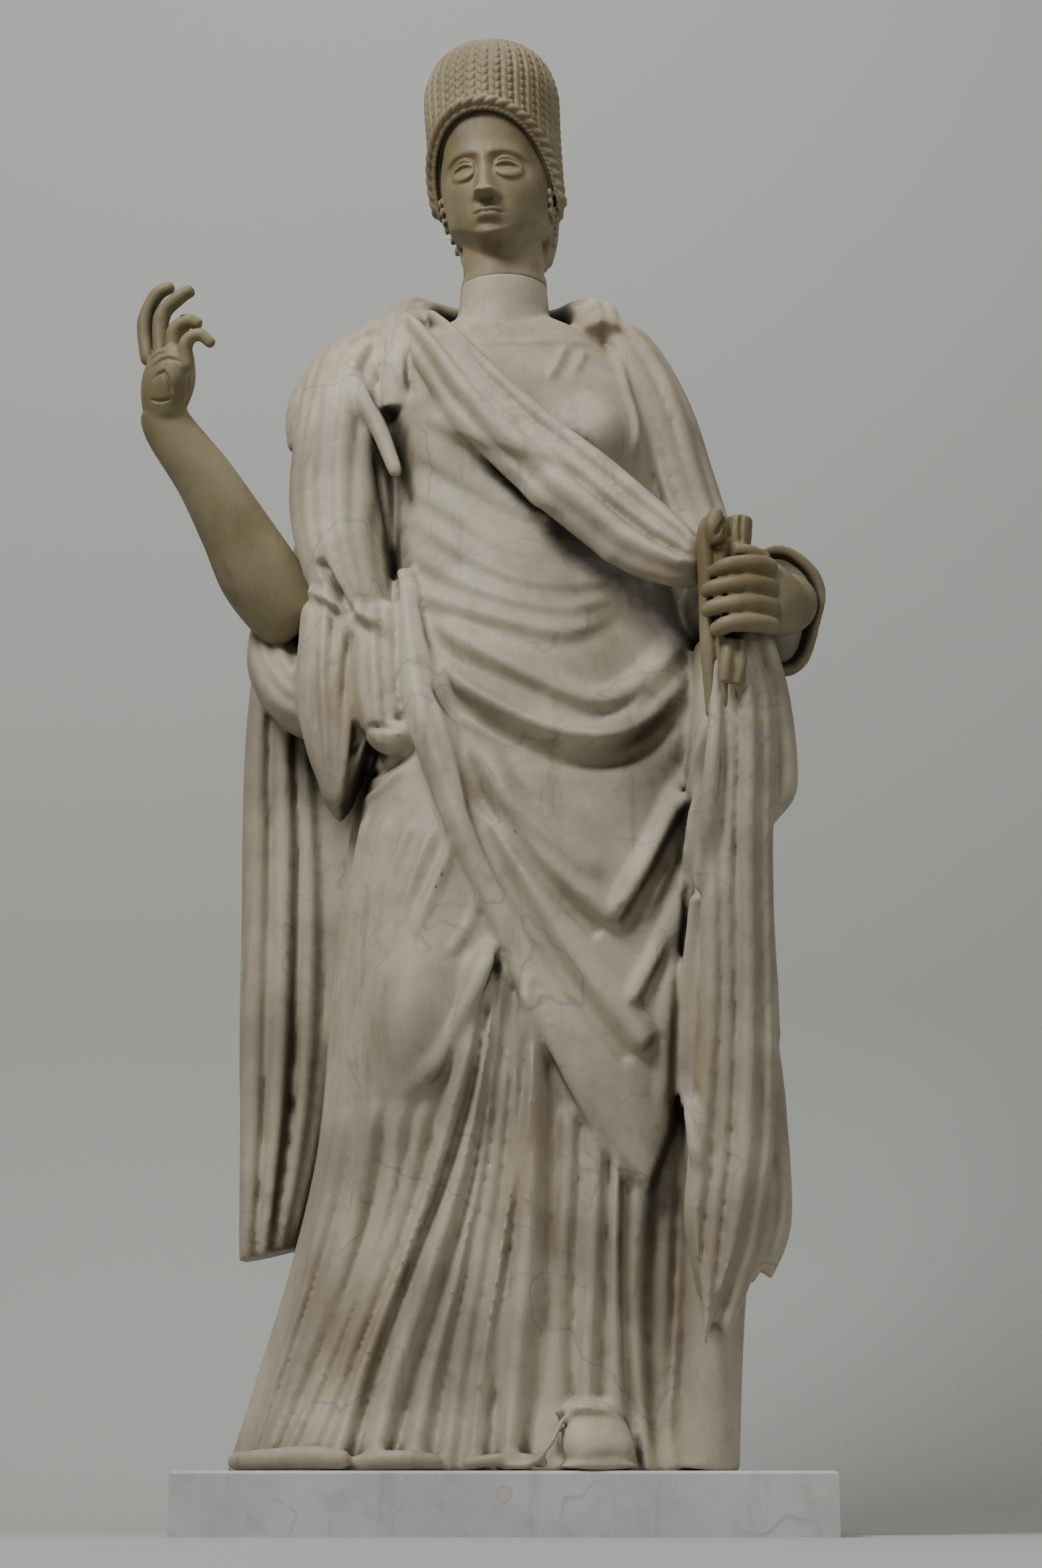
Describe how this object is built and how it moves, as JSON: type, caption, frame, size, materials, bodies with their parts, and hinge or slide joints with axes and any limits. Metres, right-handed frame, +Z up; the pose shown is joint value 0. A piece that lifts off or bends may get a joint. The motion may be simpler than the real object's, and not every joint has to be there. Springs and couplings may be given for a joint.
{
  "type": "draped marble statue",
  "caption": "Over-life-size draped Roman matron in marble with a raised right hand and a gathered mantle, standing on a low plinth.",
  "frame": {"origin": "centre of the plinth's underside", "axes": "+Z up, -Y the way the figure faces, +X to the figure's left, a viewer's right"},
  "size_m": [1.081, 0.7734, 2.452],
  "materials": {
    "aged_marble": "carved and rubbed marble, weathered, with dirt in the folds",
    "head_marble": "smoothly carved marble with a brown patina in the hair",
    "warm_marble": "smoothly carved yellow-brown marble",
    "grey_marble": "sawn and honed grey-white marble",
    "plug_marble": "honed pale marble"
  },
  "bodies": {
    "root": {"draped_figure": "aged_marble", "head": "head_marble", "right_forearm": "warm_marble", "plinth": "grey_marble", "plinth_plug": "plug_marble"}
  },
  "joints": []
}
